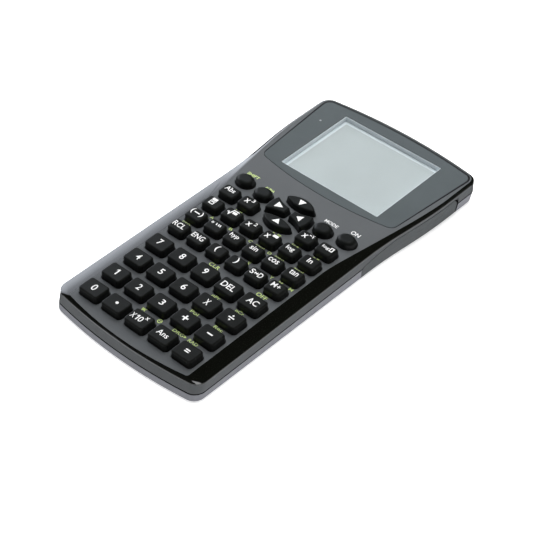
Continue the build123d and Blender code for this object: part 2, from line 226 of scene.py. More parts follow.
def metal(name, base, rough, stretch=(1, 1, 1)):
    """Machined or stamped metal with brushing along one direction."""
    made = Shader(name, rough, Metallic=1.0).colour(base, 0.08, 2.0)
    return made.uneven(0.08, 1.2).relief(made.noise(0.12, 2, stretch), 0.004).material


def ink(name, base):
    """Screen-printed ink: slightly uneven and matt."""
    made = Shader(name, 0.5).colour(base, 0.05, 0.9)
    return made.uneven(0.1, 0.5).grain(0.08, 0.006).material


def clear_plastic(name):
    """Acrylic that light to and from the parts behind it passes unbent."""
    made = Shader(name, 0.02, Transmission_Weight=1.0, IOR=1.49)
    made.bsdf.inputs["Base Color"].default_value = (0.97, 0.985, 0.98, 1)
    made.scratches(0.0006)
    ray = made.add("ShaderNodeLightPath").outputs
    unbent = made.maths("MAXIMUM", ray["Is Shadow Ray"], ray["Is Diffuse Ray"])
    open_way = made.add("ShaderNodeBsdfTransparent")
    open_way.inputs[0].default_value = (0.95, 0.96, 0.96, 1)
    mix = made.add("ShaderNodeMixShader", i0=unbent, i1=made.bsdf.outputs[0], i2=open_way.outputs[0])
    made.tree.links.new(mix.outputs[0], made.tree.nodes["Material Output"].inputs[0])
    return made.material


def lcd_material(name):
    """Glass panel: a grey picture area with a faint pixel grid, a bluer border round it,
    lightened as painted light against the shade the window border casts, and a metal frame beside it."""
    made = Shader(name, 0.45, Specular_IOR_Level=0.05)
    axes = made.face_axes()

    def inside(centre, size):
        gates = []
        for axis, middle, width in zip(axes, centre, size):
            away = made.maths("ABSOLUTE", made.maths("SUBTRACT", axis, middle))
            gates.append(made.ramp(away, width / 2 + LCD_BLUR, width / 2 - LCD_BLUR))
        return made.maths("MULTIPLY", *gates)

    pitch = LCD_ACTIVE[0] / LCD_COLUMNS
    cells = [made.maths("FRACT", made.maths("DIVIDE", axis, pitch)) for axis in axes[:2]]
    lines = [made.ramp(cell, 0.9, 0.96) for cell in cells]
    grid = made.maths("MULTIPLY", made.maths("MAXIMUM", *lines), LCD_GRID)
    cloud = made.ramp(made.noise(18, 2), 0.3, 0.7)
    field = made.blend(cloud, LCD_FIELD, [c * 1.06 for c in LCD_FIELD])
    picture = made.blend(grid, field, [c * 1.1 for c in LCD_FIELD])
    border = made.blend(cloud, LCD_BORDER_PAINTED_LIGHT, [c * 1.05 for c in LCD_BORDER_PAINTED_LIGHT])
    glass = made.blend(inside(LCD_ACTIVE_CENTRE, LCD_ACTIVE), border, picture)
    steel = made.blend(made.ramp(made.noise(1.5, 3), 0.3, 0.7), *LCD_STEEL)
    shown = made.blend(inside((0, WINDOW_Y), LCD_GLASS), steel, glass)
    made.tree.links.new(shown, made.bsdf.inputs["Base Color"])
    return made.uneven(0.04, 3.0).grain(0.1, 0.001).material


def board_material(name):
    """Solder mask with faint copper tracks under it."""
    made = Shader(name, 0.32, Coat_Weight=0.4)
    tracks = []
    for spin, stretch in ((0.0, (1, 0.06, 1)), (0.785, (1, 0.08, 1))):
        band = made.noise(1.1, 1, stretch, (0, 0, spin))
        tracks.append(made.ramp(made.maths("PINGPONG", band, 0.06), 0.02, 0.03))
    copper = made.maths("MINIMUM", *tracks)
    shade = made.blend(copper, BOARD_GREEN, TRACK_GREEN)
    made.tree.links.new(shade, made.bsdf.inputs["Base Color"])
    return made.uneven(0.06, 2.0).relief(copper, 0.02).material


CASE_GREY = (0.091, 0.097, 0.101)
REAR_GREY = (0.24, 0.243, 0.268)
COVER_GREY = (0.078, 0.086, 0.089)
WINDOW_GREY = (0.098, 0.112, 0.117)
KEY_BLACK = (0.0062, 0.0068, 0.0058)
OVAL_BLACK = (0.0075, 0.0085, 0.0078)
TRIM_BLACK = (0.0042, 0.0046, 0.0035)
LCD_FIELD = (0.452, 0.485, 0.490)
# The LCD's bluer border, lightened as painted light to offset the shade the window border casts on it.
LCD_BORDER_PAINTED_LIGHT = (0.66, 0.71, 0.74)
LCD_STEEL = ((0.42, 0.43, 0.44), (0.5, 0.51, 0.52))
# Pale liner colour, lightened as painted light to offset the shade in the window recess.
LINER_PAINTED_LIGHT_GREY = (0.78, 0.82, 0.85)
SILICONE_GREY = (0.32, 0.33, 0.34)
BOARD_GREEN, TRACK_GREEN = (0.012, 0.11, 0.045), (0.03, 0.2, 0.075)
NICKEL, STEEL, FOIL = (0.62, 0.61, 0.58), (0.42, 0.42, 0.43), (0.5, 0.51, 0.52)
INK_WHITE = (0.86, 0.86, 0.85)
INK_GREEN = (0.62, 0.78, 0.27)

WINDOW_SIZE = (56.0, 45.0)
WINDOW_Y = 60.75
LCD_GLASS = (61.0, 48.0)
LCD_ACTIVE = (52.4, 41.0)
LCD_ACTIVE_CENTRE = (0.15, 60.6)
LCD_COLUMNS = 127
LCD_BLUR, LCD_GRID = 0.15, 0.25

# Bands of painted shade in the gaps between mouldings, as (axis, low, high, ceiling): the seam,
# the key and window openings, and the room past the head end of the battery cover.
SEAM_SHADE = (2, -6.04, -5.46, 0.0)
OPENING_SHADE = (2, -1.25, -0.05, 0.0)
COVER_END_SHADE = (1, 73.82, 74.83, -2.6)

MATERIALS = {
    # case_grey and rear_grey carry painted shade in their seam, openings and cover-end gap.
    "case_grey": moulded(
        "case_grey", CASE_GREY, 0.36, 0.22, 0.003,
        gaps=(SEAM_SHADE, OPENING_SHADE, COVER_END_SHADE), Specular_IOR_Level=0.3,
    ),
    "rear_grey": moulded(
        "rear_grey", REAR_GREY, 0.48, 0.35, 0.008,
        gaps=(SEAM_SHADE, COVER_END_SHADE), Specular_IOR_Level=0.35,
    ),
    "cover_grey": moulded("cover_grey", COVER_GREY, 0.42, 0.35, 0.007, 1.6, Specular_IOR_Level=0.35),
    "gloss_black": polished("gloss_black", TRIM_BLACK),
    "window_plate": polished("window_plate", WINDOW_GREY),
    "lcd_glass": lcd_material("lcd_glass"),
    "silicone": moulded("silicone", SILICONE_GREY, 0.6, 0.5, 0.004, Subsurface_Weight=0.2),
    "board_green": board_material("board_green"),
    "cell_metal": metal("cell_metal", NICKEL, 0.28),
    "screw_steel": metal("screw_steel", STEEL, 0.32),
    "key_black": moulded("key_black", KEY_BLACK, 0.36, 0.16, 0.0015, 1.3, Specular_IOR_Level=0.22),
    "oval_key_black": moulded("oval_key_black", OVAL_BLACK, 0.34, 0.2, 0.0012, 1.3, Specular_IOR_Level=0.26),
    "cursor_black": moulded("cursor_black", OVAL_BLACK, 0.34, 0.2, 0.0012, 1.3, Specular_IOR_Level=0.26),
}
WHITE = ink("ink_white", INK_WHITE)
GREEN = ink("ink_green", INK_GREEN)
DARK_MARK = ink("ink_dark", (0.05, 0.05, 0.05))
# Near-black ink laid round the window plate as painted shade of its gap.
GAP_SHADE_INK = ink("ink_gap_shade", (0.006, 0.006, 0.007))
SENSOR_GLASS = ink("sensor_glass", (0.27, 0.29, 0.30))
CLEAR = clear_plastic("clear_acrylic")
LINER = moulded("window_liner", LINER_PAINTED_LIGHT_GREY, 0.45, 0.3, 0.002, 1.1)
LABEL_FOIL = metal("label_foil", FOIL, 0.38, (1, 0.02, 1))

for slot_row in frame["record"]["materials"]:
    assert slot_row["slot"] in MATERIALS, slot_row["slot"]


def dress_cad_nodes():
    """Gives every CAD node the material of its slot in the record."""
    for part in frame["record"]["subparts"]:
        mesh = frame["nodes"][part["node"]].data
        mesh.materials.clear()
        mesh.materials.append(MATERIALS[part["material_slot"]])


# --------------------------------------------------------------- mesh building
def new_piece(name, verts, faces, material, body):
    """A mesh object from face-frame points in millimetres, riding on a body."""
    mesh = bpy.data.meshes.new(name)
    mesh.from_pydata([TO_ROW @ Vector(v) for v in verts], [], faces)
    mesh.validate()
    shell = bmesh.new()
    shell.from_mesh(mesh)
    bmesh.ops.recalc_face_normals(shell, faces=shell.faces)
    shell.to_mesh(mesh)
    shell.free()
    mesh.materials.append(material)
    mesh.shade_flat()
    piece = bpy.data.objects.new(name, mesh)
    bpy.context.scene.collection.objects.link(piece)
    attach(piece, body)
    return piece


def flat_polygon(points):
    """One face, as every drawing below is made: corners, and faces as corner numbers."""
    return [Vector((x, y)) for x, y in points], [tuple(range(len(points)))]


def block(cx, cy, width, height):
    x, y = width / 2, height / 2
    return flat_polygon([(cx - x, cy - y), (cx + x, cy - y), (cx + x, cy + y), (cx - x, cy + y)])


def hollow(cx, cy, width, height, line=0.35):
    """A rectangle drawn as an outline."""
    verts = block(cx, cy, width, height)[0] + block(cx, cy, width - 2 * line, height - 2 * line)[0]
    return verts, [(i, (i + 1) % 4, 4 + (i + 1) % 4, 4 + i) for i in range(4)]


def dot(cx, cy, radius, sides=24):
    turns = [2 * math.pi * i / sides for i in range(sides)]
    return flat_polygon([(cx + radius * math.cos(t), cy + radius * math.sin(t)) for t in turns])


def strip(outer, inner):
    """The band between two closed loops of as many points."""
    count = len(outer)
    faces = [(i, (i + 1) % count, count + (i + 1) % count, count + i) for i in range(count)]
    return outer + inner, faces


def ring(cx, cy, radius, line=0.3, sides=24):
    return strip(dot(cx, cy, radius, sides)[0], dot(cx, cy, radius - line, sides)[0])


MITRE_LIMIT = 0.35


def stroke(points, width):
    """A line of even width through the points, mitred at its corners."""
    points = [Vector(p) for p in points]
    sides = [[], []]
    for i, point in enumerate(points):
        before = (point - points[i - 1]).normalized() if i else None
        after = (points[i + 1] - point).normalized() if i + 1 < len(points) else None
        before, after = before or after, after or before
        along = (before + after).normalized()
        across = Vector((-along.y, along.x)) * (width / 2 / max(MITRE_LIMIT, along.dot(before)))
        sides[0].append(point + across)
        sides[1].append(point - across)
    count = len(points)
    faces = [(i, i + 1, count + i + 1, count + i) for i in range(count - 1)]
    return sides[0] + sides[1], faces


def lettering(text, cx, cy, width, height, bold=0.008):
    """Text filled in as flat faces, fitted to a box of that width and height."""
    curve = bpy.data.curves.new("lettering", "FONT")
    curve.body = text
    curve.offset = bold
    curve.resolution_u = 4
    holder = bpy.data.objects.new("lettering", curve)
    bpy.context.scene.collection.objects.link(holder)
    bpy.context.view_layer.update()
    graph = bpy.context.evaluated_depsgraph_get()
    mesh = bpy.data.meshes.new_from_object(holder.evaluated_get(graph))
    verts = [v.co.xy.copy() for v in mesh.vertices]
    faces = [tuple(p.vertices) for p in mesh.polygons]
    bpy.data.objects.remove(holder)
    bpy.data.curves.remove(curve)
    bpy.data.meshes.remove(mesh)
    low = Vector((min(v.x for v in verts), min(v.y for v in verts)))
    high = Vector((max(v.x for v in verts), max(v.y for v in verts)))
    span = high - low

    def fit(v):
        x, y = ((v.x - low.x) / span.x - 0.5) * width, ((v.y - low.y) / span.y - 0.5) * height
        return Vector((cx + x, cy + y))

    return [fit(v) for v in verts], faces


DRAW = {
    "text": lettering,
    "block": block,
    "hollow": hollow,
    "dot": dot,
    "ring": ring,
    "strip": strip,
    "stroke": stroke,
    "shape": flat_polygon,
}


class Surface:
    """Where a vertical line meets the top of a CAD node, in the face frame."""

    def __init__(self, node):
        mesh = frame["nodes"][node].data
        verts = [TO_FACE @ v.co for v in mesh.vertices]
        self.tree = BVHTree.FromPolygons(verts, [tuple(p.vertices) for p in mesh.polygons])
        self.top = max(v.z for v in verts)
        self.spans = [(min(c), max(c)) for c in ([v.x for v in verts], [v.y for v in verts])]

    def middle(self):
        return tuple((low + high) / 2 for low, high in self.spans)

    def height(self, x, y, otherwise):
        """Height of the top at x, y, or the other height where the line misses it."""
        hit = self.tree.ray_cast(Vector((x, y, self.top + CLEARANCE)), Vector((0, 0, -1)))[0]
        return otherwise if hit is None or hit.z < otherwise - MAX_DIP else hit.z


CLEARANCE, MAX_DIP = 5, 0.6
INK_PROUD, INK_SUNK = 0.03, 0.05
SAME_POINT, NO_LENGTH = 0.002, 0.001


def print_legend(name, drawings, origin, node, level, body, material):
    """Prints the drawings on the top of a CAD node as a thin closed layer of ink."""
    surface = Surface(node)
    flat = bmesh.new()
    for kind, *values in drawings:
        verts, faces = DRAW[kind](*values)
        made = [flat.verts.new((v.x + origin[0], v.y + origin[1], 0)) for v in verts]
        for face in faces:
            flat.faces.new([made[i] for i in face])
    bmesh.ops.remove_doubles(flat, verts=flat.verts, dist=SAME_POINT)
    bmesh.ops.dissolve_degenerate(flat, edges=flat.edges, dist=NO_LENGTH)
    bmesh.ops.recalc_face_normals(flat, faces=flat.faces)
    flat.verts.index_update()
    count = len(flat.verts)
    points = [(v.co.x, v.co.y, surface.height(v.co.x, v.co.y, level)) for v in flat.verts]
    verts = [(x, y, z + offset) for offset in (INK_PROUD, -INK_SUNK) for x, y, z in points]
    faces = []
    for face in flat.faces:
        loop = [v.index for v in face.verts]
        if face.normal.z < 0:
            loop.reverse()
        faces.append(tuple(loop))
        faces.append(tuple(count + i for i in reversed(loop)))
    for edge in flat.edges:
        if len(edge.link_faces) == 1:
            a, b = (v.index for v in edge.verts)
            faces.append((a, b, count + b, count + a))
    flat.free()
    return new_piece(name, verts, faces, material, body)


# --------------------------------------------------------------------- legends
def word(text, cx, cy, width, height):
    """Text to fit in a box about its centre."""
    return ("text", text, cx, cy, width, height)


def one(cx, cy, width, height):
    """The figure 1, with its flag."""
    right, low, high = cx + width / 2, cy - height / 2, cy + height / 2
    left, flag = right - width * 0.48, cx - width / 2
    flag_top, flag_foot, crook = (high - height * share for share in (0.19, 0.36, 0.22))
    stem = [(left, low), (right, low), (right, high), (left, high)]
    return stem + [(flag, flag_top), (flag, flag_foot), (left, crook)]


def cross(cx, cy, width, line):
    """A plus sign, as one outline."""
    far, near = width / 2, line / 2
    quarter = [(near, far), (near, near), (far, near)]
    turned = quarter + [(y, -x) for x, y in quarter]
    return [(cx + x, cy + y) for x, y in turned + [(-x, -y) for x, y in turned]]


def double_arrow(cx, cy, width, height):
    """An arrow with a head at both ends, as one outline."""
    tip, neck, head, shaft = width / 2, width * 0.15, height / 2, height * 0.16
    right = [(neck, shaft), (neck, head), (tip, 0), (neck, -head), (neck, -shaft)]
    return [(cx + x, cy + y) for x, y in right + [(-x, -y) for x, y in right]]


# Drawings on each key, from the middle of the key.
LEGENDS = {
    "key_0": [word("0", 0.2, 0.1, 2.2, 3.5)],
    "key_point": [("dot", 0.15, 0.1, 0.72)],
    "key_exponent": [
        word("X", -3.4, -0.2, 2.0, 2.8),
        ("shape", one(-1.3, -0.05, 1.2, 3.0)),
        word("0", 0.7, -0.05, 1.9, 3.0),
        word("x", 2.6, 1.9, 1.7, 1.6),
    ],
    "key_answer": [word("Ans", -0.25, 0.3, 5.8, 2.8)],
    "key_equals": [("block", 0.1, 0.6, 2.3, 0.6), ("block", 0.1, -0.45, 2.3, 0.6)],
    "key_1": [("shape", one(0.15, 0.25, 1.3, 3.4))],
    "key_2": [word("2", 0.15, 0.15, 2.0, 3.3)],
    "key_3": [word("3", 0.13, 0.2, 2.1, 3.2)],
    "key_plus": [("shape", cross(-0.07, 0.1, 3.1, 0.76))],
    "key_minus": [("block", 0.2, 0.15, 2.9, 0.7)],
    "key_4": [word("4", 0.17, 0.1, 2.1, 3.3)],
    "key_5": [word("5", 0.22, 0.2, 2.0, 3.3)],
    "key_6": [word("6", 0.17, 0.1, 2.2, 3.4)],
    "key_times": [word("X", 0.05, 0.0, 2.2, 3.3)],
    "key_divide": [("block", 0.1, 0.05, 3.0, 0.62), ("dot", 0.1, 1.35, 0.45), ("dot", 0.1, -1.2, 0.45)],
    "key_7": [word("7", 0.15, 0.1, 2.1, 3.3)],
    "key_8": [word("8", 0.15, 0.1, 2.1, 3.4)],
    "key_9": [word("9", 0.15, 0.1, 2.1, 3.4)],
    "key_delete": [word("DEL", -0.05, 0.05, 7.0, 3.1)],
    "key_clear": [word("AC", 0.3, 0.05, 5.5, 3.1)],
    "key_recall": [word("RCL", -0.45, 0.5, 6.3, 2.9)],
    "key_engineering": [word("ENG", -0.3, 0.5, 6.5, 2.9)],
    "key_open_bracket": [word("(", -0.4, 0.5, 1.5, 4.0)],
    "key_close_bracket": [word(")", -0.3, 0.6, 1.5, 4.0)],
    "key_fraction_decimal": [
        word("S", -2.4, 0.6, 1.8, 2.8),
        ("shape", double_arrow(-0.25, 0.6, 2.3, 1.5)),
        word("D", 2.05, 0.6, 2.1, 2.8),
    ],
    "key_memory": [word("M+", -0.35, 0.6, 4.5, 2.7)],
    "key_negative": [
        word("(", -2.9, 0.8, 1.3, 3.6),
        ("block", -0.35, 0.8, 3.0, 0.6),
        word(")", 2.1, 0.8, 1.3, 3.6),
    ],
    "key_degrees": [
        ("ring", -2.4, 1.1, 0.6, 0.3),
        ("stroke", [(-0.4, 1.8), (0.0, 0.5)], 0.5),
        ("stroke", [(0.85, 1.8), (1.25, 0.5)], 0.5),
        ("stroke", [(1.75, 1.8), (2.15, 0.5)], 0.5),
    ],
    "key_hyperbolic": [word("hyp", -0.45, 0.7, 4.8, 3.0)],
    "key_sine": [word("sin", -0.15, 0.85, 3.9, 2.6)],
    "key_cosine": [word("cos", -0.23, 0.7, 5.2, 2.2)],
    "key_tangent": [word("tan", -0.04, 0.85, 4.3, 2.6)],
    "key_fraction": [
        ("block", -0.6, 1.85, 2.7, 1.5),
        ("block", -0.6, 0.65, 3.0, 0.35),
        ("hollow", -0.6, -0.6, 2.6, 1.7, 0.4),
    ],
    "key_root": [
        ("stroke", [(-2.8, 0.1), (-2.1, 0.5), (-1.4, -0.9), (-0.6, 2.3), (2.3, 2.3)], 0.5),
        ("block", 0.9, 0.9, 2.3, 1.4),
    ],
    "key_square": [word("x", -1.3, 0.1, 2.4, 2.3), word("2", 1.35, 1.75, 1.4, 1.9)],
    "key_power": [word("x", -1.7, 0.1, 2.4, 2.3), ("block", 1.45, 1.9, 2.6, 1.5)],
    "key_log": [word("log", -0.12, 0.4, 4.15, 3.0)],
    "key_natural_log": [word("ln", 0.03, 0.5, 2.5, 2.8)],
    "key_absolute": [word("Abs", -0.4, 0.95, 5.4, 2.6)],
    "key_cube": [word("x", -1.1, 0.4, 2.4, 2.3), word("3", 1.35, 1.95, 1.4, 1.9)],
    "key_inverse": [
        word("x", -1.1, 0.3, 2.4, 2.3),
        ("block", 0.95, 1.95, 1.1, 0.45),
        ("shape", one(2.15, 1.95, 0.9, 1.8)),
    ],
    "key_log_base": [word("log", -0.8, 0.7, 3.6, 2.1), ("hollow", 2.25, 1.0, 1.8, 2.5, 0.45)],
    "cursor_up": [("shape", [(-1.7, 9.3), (1.85, 9.3), (0.05, 6.1)])],
    "cursor_down": [("shape", [(-1.9, -9.15), (2.0, -9.15), (0.05, -6.4)])],
    "cursor_left": [("shape", [(-7.5, -1.75), (-7.5, 2.0), (-3.85, 0.15)])],
    "cursor_right": [("shape", [(7.2, -2.1), (7.2, 1.7), (4.4, -0.2)])],
}
PAD_CENTRE = (0.1, 12.5)
KEY_TOP_Z, PAD_TOP_Z = 3.5, 3.1

# Second functions, printed on the face.
FACE_GREEN = [
    word("SHIFT", -30.25, 22.5, 6.7, 1.7),
    word("ALPHA", -18.35, 20.4, 5.2, 1.4),
    word("CLR", -2.0, -31.9, 5.6, 2.0),
    word("OFF", 25.0, -31.9, 5.5, 2.0),
    word("nPr", 11.6, -44.95, 4.3, 1.6),
    word("nCr", 24.95, -44.95, 4.3, 1.6),
    word("Pol", 11.5, -57.55, 4.2, 1.6),
    word("Rec", 25.0, -57.55, 4.7, 1.6),
    word("π", -5.1, -70.1, 2.2, 1.5),
    ("ring", 4.5, -70.5, 1.15, 0.35),
    ("block", 4.5, -70.35, 1.4, 0.35),
    word("DRG", 14.75, -70.15, 5.8, 1.6),
    ("shape", [(18.0, -69.4), (19.3, -70.1), (18.0, -70.8)]),
    word("RAD", 23.0, -70.15, 5.0, 1.6),
    word("STO", -29.8, -20.9, 4.4, 1.6),
    word("X", 7.3, -20.9, 1.7, 1.6),
    word("Y", 20.35, -20.9, 1.7, 1.6),
    word("M-", 25.8, -20.9, 3.0, 1.6),
    word("M", 31.2, -20.9, 2.0, 1.6),
    word("A", -24.1, -10.4, 1.8, 1.5),
    word("B", -13.0, -10.4, 1.7, 1.5),
    word("C", -1.5, -10.4, 1.8, 1.5),
    word("sin", 3.1, -10.35, 2.8, 1.4),
    ("block", 5.2, -10.05, 0.7, 0.3),
    ("shape", one(5.95, -10.15, 0.5, 1.0)),
    word("D", 9.6, -10.4, 1.8, 1.5),
    word("cos", 13.9, -10.4, 3.0, 1.4),
    ("block", 16.2, -10.05, 0.7, 0.3),
    ("shape", one(16.95, -10.15, 0.5, 1.0)),
    word("tan", 24.9, -10.35, 3.0, 1.4),
    ("block", 27.2, -10.05, 0.7, 0.3),
    ("shape", one(27.95, -10.15, 0.5, 1.0)),
    word("3", -20.1, 0.2, 0.8, 1.1),
    ("stroke", [(-19.5, -0.5), (-19.1, -0.3), (-18.7, -1.2), (-18.2, 0.6), (-16.6, 0.6)], 0.3),
    ("block", -17.3, -0.4, 1.2, 0.9),
    ("block", 2.2, 0.1, 1.1, 1.1),
    ("stroke", [(3.0, -0.2), (3.4, 0.0), (3.8, -0.9), (4.3, 0.95), (6.0, 0.95)], 0.3),
    ("hollow", 5.2, 0.0, 1.2, 1.0, 0.25),
    ("shape", one(12.9, 0.0, 0.6, 1.5)),
    word("0", 14.1, 0.0, 1.1, 1.5),
    ("block", 15.7, 0.25, 1.1, 1.0),
    word("e", 25.3, -0.1, 1.5, 1.3),
    ("block", 27.2, 0.25, 1.1, 1.0),
    word("x!", 15.4, 9.75, 2.0, 1.6),
]
FACE_WHITE = [word("MODE", 16.5, 21.6, 7.1, 1.8), word("ON", 28.6, 23.4, 4.5, 2.2)]


def print_legends():
    """White legends on the keys, and both colours on the face."""
    for node, drawings in LEGENDS.items():
        pad = node.startswith("cursor")
        origin = PAD_CENTRE if pad else Surface(node).middle()
        level = PAD_TOP_Z if pad else KEY_TOP_Z
        print_legend("legend_" + node, drawings, origin, node, level, node, WHITE)
    print_legend("legend_second_functions", FACE_GREEN, (0, 0), "front_case", 0.0, "case", GREEN)
    print_legend("legend_main_keys", FACE_WHITE, (0, 0), "front_case", 0.0, "case", WHITE)


# --------------------------------------------------------------------- display
PRINT_T = 0.12
PANE_Z = (-0.24, -0.14)
SENSOR_DOT = (-34.8, 72.8, 0.5)
# Width of the painted-shade ring round the window plate, fine to broad, and the span where it widens.
GAP_SHADE_W, GAP_SHADE_FADE_Y = (0.15, 0.75), (37, 45)
LINER_FLANGE, LINER_W, LINER_PLAY = 2.0, 0.3, 0.02
LINER_Z = (-2.35, -0.34, -0.26)
OPENING_CORNER_R = 0.4
SLAB_REACH = 200


def rounded_box(name, size, centre, radius):
    """A box with every edge rounded, to cut with."""
    shell = bmesh.new()
    bmesh.ops.create_cube(shell, size=1.0)
    for v in shell.verts:
        v.co = [c + s * k for c, s, k in zip(centre, size, v.co)]
    bmesh.ops.bevel(shell, geom=shell.edges[:], offset=radius, segments=2, profile=0.5, affect="EDGES")
    verts = [v.co.copy() for v in shell.verts]
    faces = [tuple(v.index for v in f.verts) for f in shell.faces]
    shell.free()
    return new_piece(name, verts, faces, WHITE, "case")


def carved(name, node, cuts, material):
    """A copy of a CAD node, cut by boxes: (operation, size, centre) in the face frame."""
    source = frame["nodes"][node].data
    verts = [TO_FACE @ v.co for v in source.vertices]
    faces = [tuple(p.vertices) for p in source.polygons]
    piece = new_piece(name, verts, faces, material, "case")
    for operation, size, centre in cuts:
        cutter = rounded_box("cutter", size, centre, min(OPENING_CORNER_R, min(size) / 4))
        cut = piece.modifiers.new("cut", "BOOLEAN")
        cut.operation, cut.solver, cut.object = operation, "EXACT", cutter
        bpy.context.view_layer.update()
        graph = bpy.context.evaluated_depsgraph_get()
        opened = bpy.data.meshes.new_from_object(piece.evaluated_get(graph))
        piece.modifiers.clear()
        piece.data = opened
        bpy.data.objects.remove(cutter)
    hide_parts(node)
    return piece


def slice_between(low, high):
    """Keeps what lies between two heights."""
    return ("INTERSECT", (SLAB_REACH, SLAB_REACH, high - low), (0, WINDOW_Y, (low + high) / 2))


def display_window():
    """The window plate as a clear sheet with its grey border printed on top."""
    opening = ("DIFFERENCE", (*WINDOW_SIZE, 12 * PRINT_T), (0, WINDOW_Y, 0))
    printed = [slice_between(-PRINT_T, 1.0), opening]
    carved("window_border", "display_window", printed, MATERIALS["window_plate"])
    carved("window_pane", "display_window", [slice_between(*PANE_Z)], CLEAR)


def window_gap_shade_ring():
    """Painted shade: a black ring laid round the window plate in place of the shade in its gap to the case,
    finer at the user's end.
    """
    mesh = frame["nodes"]["display_window"].data
    corners = [TO_FACE @ v.co for v in mesh.vertices]
    rim = (v.xy for v in corners if v.z > -PRINT_T)
    loop = sorted(rim, key=lambda p: math.atan2(p.y - WINDOW_Y, p.x))
    fade_low, fade_high = GAP_SHADE_FADE_Y
    fine, broad = GAP_SHADE_W
    inner = []
    for before, point, after in zip(loop[-1:] + loop, loop, loop[1:] + loop[:1]):
        along = (after - before).normalized()
        share = min(1.0, max(0.0, (point.y - fade_low) / (fade_high - fade_low)))
        inner.append(point + Vector((-along.y, along.x)) * (fine + share * (broad - fine)))
    for name, drawing, material in (
        ("window_gap_shade_ring", ("strip", loop, inner), GAP_SHADE_INK),
        ("window_sensor", ("dot", *SENSOR_DOT), SENSOR_GLASS),
    ):
        print_legend(name, [drawing], (0, 0), "display_window", 0.0, "case", material)


def window_liner():
    """Pale frame that seats the window plate and lines the opening down to the glass; its colour is
    lightened as painted light against the shade in the recess.
    """
    half_x, half_y = (s / 2 for s in WINDOW_SIZE)
    foot, seat, top = LINER_Z
    profile = [
        (LINER_FLANGE, seat),
        (LINER_FLANGE, top),
        (-LINER_W, top),
        (-LINER_W, foot),
        (-LINER_PLAY, foot),
        (-LINER_PLAY, seat),
    ]
    verts = [
        (sx * (half_x + out), WINDOW_Y + sy * (half_y + out), z)
        for out, z in profile
        for sx, sy in ((-1, -1), (1, -1), (1, 1), (-1, 1))
    ]
    faces = []
    for row in range(len(profile)):
        here, there = 4 * row, 4 * ((row + 1) % len(profile))
        faces += [(here + i, here + (i + 1) % 4, there + (i + 1) % 4, there + i) for i in range(4)]
    return new_piece("window_liner", verts, faces, LINER, "case")


# -------------------------------------------------------------------- underside
LABEL_SIZE, LABEL_Y, LABEL_R = (51.2, 25.2), -42.0, 1.6
LABEL_LIFT, LABEL_STEPS = (0.05, 0.24), 6
CELL_X, CELL_FOOT_Z = (-24.0, 0.0, 24.0), -9.9
MARK_Y, MARK_SIZE, MARK_LINE, MARK_Z = 46.0, 3.0, 0.5, (-0.03, 0.02)


def underside_z(y):
    """Height of the flat underside in the face frame."""
    return -(THIN_END_T + (y + THIN_END_Y) * math.tan(TILT))


def slab(name, outline, floor, low, high, material, body):
    """A closed plate with an upright edge, low to high above the floor(y)."""
    count = len(outline)
    verts = [(x, y, floor(y) + z) for z in (low, high) for x, y in outline]
    faces = [tuple(range(count)), tuple(range(count, 2 * count))]
    faces += [(i, (i + 1) % count, count + (i + 1) % count, count + i) for i in range(count)]
    return new_piece(name, verts, faces, material, body)


def rating_label():
    """The blank foil label in its recess."""
    x, y = (s / 2 - LABEL_R for s in LABEL_SIZE)
    outline = []
    for corner, (sx, sy) in enumerate(((1, 1), (-1, 1), (-1, -1), (1, -1))):
        for step in range(LABEL_STEPS + 1):
            turn = math.pi / 2 * (corner + step / LABEL_STEPS)
            across, along = LABEL_R * math.cos(turn), LABEL_R * math.sin(turn)
            outline.append((sx * x + across, LABEL_Y + sy * y + along))
    return slab("rating_label", outline, underside_z, *LABEL_LIFT, LABEL_FOIL, "case")


def cell_marks():
    """A plus sign on each coin cell."""
    for number, x in enumerate(CELL_X):
        outline = cross(x, MARK_Y, MARK_SIZE, MARK_LINE)
        slab(f"cell_mark_{number}", outline, lambda y: CELL_FOOT_Z, *MARK_Z, DARK_MARK, "case")


# ---------------------------------------------------------------------- staging
CAMERA_AT = (356.769, -389.211, 469.486)
CAMERA_AZIMUTH, CAMERA_ELEVATION = math.radians(42.65), math.radians(42.88)
FOCAL_PIXELS, FRAME_PIXELS, SENSOR = 1646.13, 533, 36.0
CLIP = (0.01, 50)


def add_camera():
    """The photograph's viewing angle. Place and direction are in the face frame."""
    a, e = CAMERA_AZIMUTH, CAMERA_ELEVATION
    back = Vector((math.sin(a) * math.cos(e), -math.cos(a) * math.cos(e), math.sin(e)))
    right = Vector((math.cos(a), math.sin(a), 0))
    up = back.cross(right)
    turn = Matrix((right, up, back)).transposed().to_4x4()
    lens = bpy.data.cameras.new("camera")
    lens.sensor_width = SENSOR
    lens.lens = SENSOR * FOCAL_PIXELS / FRAME_PIXELS
    lens.clip_start, lens.clip_end = CLIP
    camera = bpy.data.objects.new("camera", lens)
    bpy.context.scene.collection.objects.link(camera)
    place = Matrix.Translation(TO_ROW @ Vector(CAMERA_AT)) @ Matrix.Rotation(TILT, 4, "X") @ turn
    camera.matrix_world = place
    bpy.context.scene.camera = camera


# Lamps that light the scene without showing in the gloss or through the window.
SUN_AXIS, SUN_SPREAD, SUN = (-0.12, 0.15, 0.98), 0.65, 1.6
SOFTBOX_AT, SOFTBOX_SIZE, SOFTBOX = (-0.05, 0.17, 0.27), 0.3, 0.72

